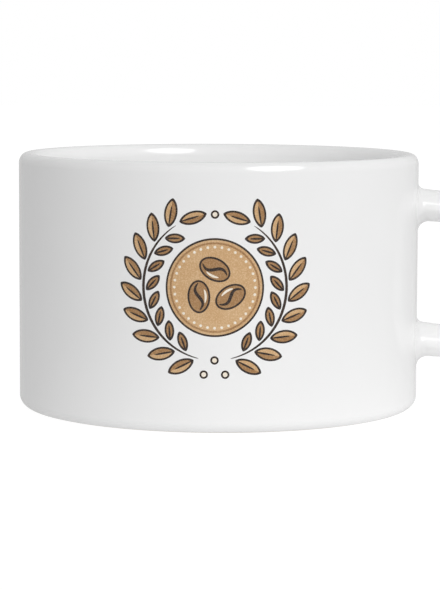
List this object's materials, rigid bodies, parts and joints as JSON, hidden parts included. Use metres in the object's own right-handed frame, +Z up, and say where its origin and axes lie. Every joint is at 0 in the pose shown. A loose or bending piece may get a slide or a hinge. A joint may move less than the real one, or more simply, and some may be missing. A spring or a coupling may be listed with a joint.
{
  "type": "ceramic mug",
  "caption": "Wide, low, straight-sided glazed ceramic mug with a rounded lip, a foot ring, a loop handle held by slip joints, and a round printed film on its front. Holds a hot drink or soup.",
  "frame": {"origin": "on the table, at the middle of the mug's footprint box, cup and handle together; the cup's axis is 18 mm towards -X from it", "axes": "+Z up out of the cup's mouth, +X towards the handle, -Y towards the printed front"},
  "size_m": [0.156, 0.1203, 0.076],
  "materials": {
    "white_glaze": "gloss white glaze over stoneware, bare clay on the foot ring",
    "print_ink": "ceramic ink in caramel, brown and cream, fired onto the glaze"
  },
  "bodies": {
    "root": {"cup_body": "white_glaze", "handle": "white_glaze", "upper_handle_joint": "white_glaze", "lower_handle_joint": "white_glaze", "print_film": "print_ink"}
  },
  "joints": []
}
